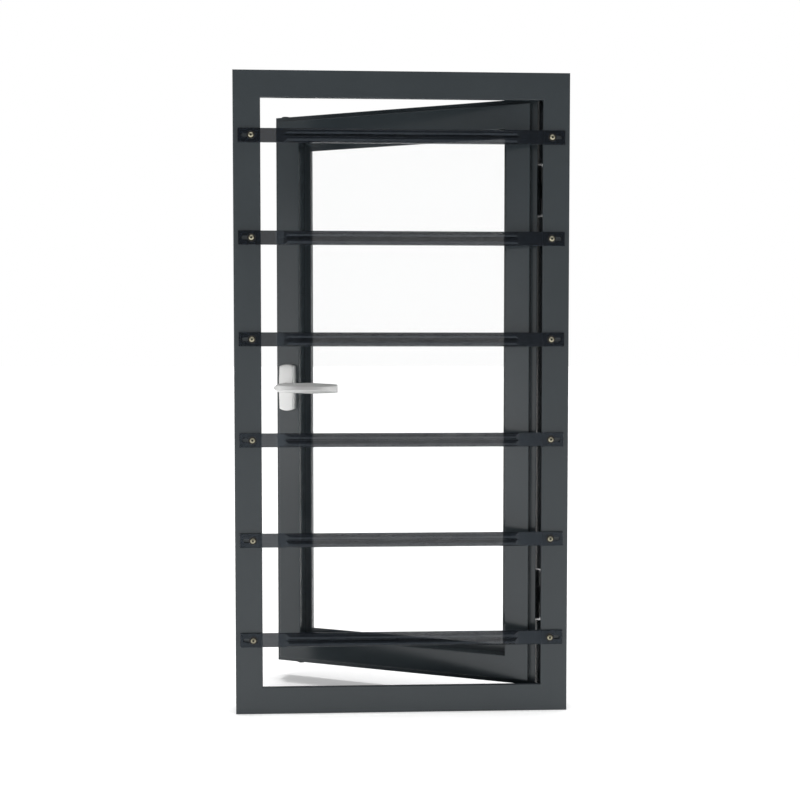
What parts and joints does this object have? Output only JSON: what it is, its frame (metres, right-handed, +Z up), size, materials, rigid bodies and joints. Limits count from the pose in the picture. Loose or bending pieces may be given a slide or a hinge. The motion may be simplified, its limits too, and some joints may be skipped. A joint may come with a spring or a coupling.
{
  "type": "casement window",
  "caption": "Side-hung casement window that opens outwards, double glazed, with a lever handle driving shoot bolts and horizontal security bars across the room side.",
  "frame": {"origin": "centre of the sill's underside, midway through the frame's depth and between its two jambs", "axes": "+Z up, +X to the right seen from the room (hinge side), +Y through the window to the outside"},
  "size_m": [0.6, 0.2669, 1.15],
  "materials": {
    "frame_coating": "satin anthracite powder coat",
    "sash_coating": "semi-gloss anthracite powder coat",
    "cleat_metal": "mill finish",
    "seal_rubber": "matt",
    "smoked_plastic": "smoked translucent, extruded",
    "black_plastic": "moulded",
    "clear_glass": "float glass",
    "spacer_metal": "matt",
    "hinge_coating": "satin anthracite powder coat",
    "handle_satin": "satin silver",
    "zinc_plate": "zinc plated",
    "steel_hardware": "zinc plated, bright"
  },
  "bodies": {
    "frame": {"bar_screws": "steel_hardware", "bar_washers": "black_plastic", "bolt_keeper_bottom": "steel_hardware", "bolt_keeper_top": "steel_hardware", "drain_caps": "black_plastic", "frame_corner_cleats": "cleat_metal", "frame_head": "frame_coating", "frame_jamb_hinge_side": "frame_coating", "frame_jamb_lock_side": "frame_coating", "frame_seal": "seal_rubber", "frame_sill": "frame_coating", "hinge_frame_leaf_bottom": "hinge_coating", "hinge_frame_leaf_top": "hinge_coating", "hinge_frame_screws": "steel_hardware", "hinge_pin_bottom": "steel_hardware", "hinge_pin_top": "steel_hardware", "keeper_screws": "steel_hardware", "security_bar_1": "smoked_plastic", "security_bar_2": "smoked_plastic", "security_bar_3": "smoked_plastic", "security_bar_4": "smoked_plastic", "security_bar_5": "smoked_plastic", "security_bar_6": "smoked_plastic"},
    "sash": {"bolt_guides": "black_plastic", "glass_inner_pane": "clear_glass", "glass_outer_pane": "clear_glass", "glass_spacer": "spacer_metal", "glazing_bead_bottom": "sash_coating", "glazing_bead_hinge_side": "sash_coating", "glazing_bead_lock_side": "sash_coating", "glazing_bead_top": "sash_coating", "glazing_seal_inner": "seal_rubber", "glazing_seal_outer": "seal_rubber", "handle_rose_base": "zinc_plate", "handle_rose_cover": "handle_satin", "handle_screws": "steel_hardware", "hinge_sash_leaf_bottom": "hinge_coating", "hinge_sash_leaf_top": "hinge_coating", "hinge_sash_screws": "steel_hardware", "lock_gearbox_case": "steel_hardware", "sash_bottom_rail": "sash_coating", "sash_corner_cleats": "cleat_metal", "sash_hinge_stile": "sash_coating", "sash_lock_stile": "sash_coating", "sash_top_rail": "sash_coating", "setting_blocks": "black_plastic"},
    "handle": {"handle_lever": "handle_satin", "handle_spindle": "steel_hardware", "handle_pinion": "steel_hardware"},
    "upper_bolt": {"shoot_bolt_upper": "steel_hardware"},
    "lower_bolt": {"shoot_bolt_lower": "steel_hardware"}
  },
  "joints": [
    {"name": "sash_hinge", "type": "hinge", "parent": "frame", "child": "sash", "pos_m": [0.268, 0.032, 0.575], "axis": [0, 0, -1], "range_deg": [-22, 68]},
    {"name": "handle_turn", "type": "hinge", "parent": "sash", "child": "handle", "pos_m": [-0.21324, 0.16495, 0.584], "axis": [0.3746, 0.9272, 0], "range_deg": [0, 90]},
    {"name": "upper_bolt_slide", "type": "slide", "parent": "sash", "child": "upper_bolt", "axis": [0, 0, 1], "range_m": [0, 0.01768]},
    {"name": "lower_bolt_slide", "type": "slide", "parent": "sash", "child": "lower_bolt", "axis": [0, 0, -1], "range_m": [0, 0.01768]}
  ],
  "couplings": [
    {"joint": "upper_bolt_slide", "follows": "handle_turn", "m_per_rad": 0.01125},
    {"joint": "lower_bolt_slide", "follows": "handle_turn", "m_per_rad": 0.01125}
  ]
}
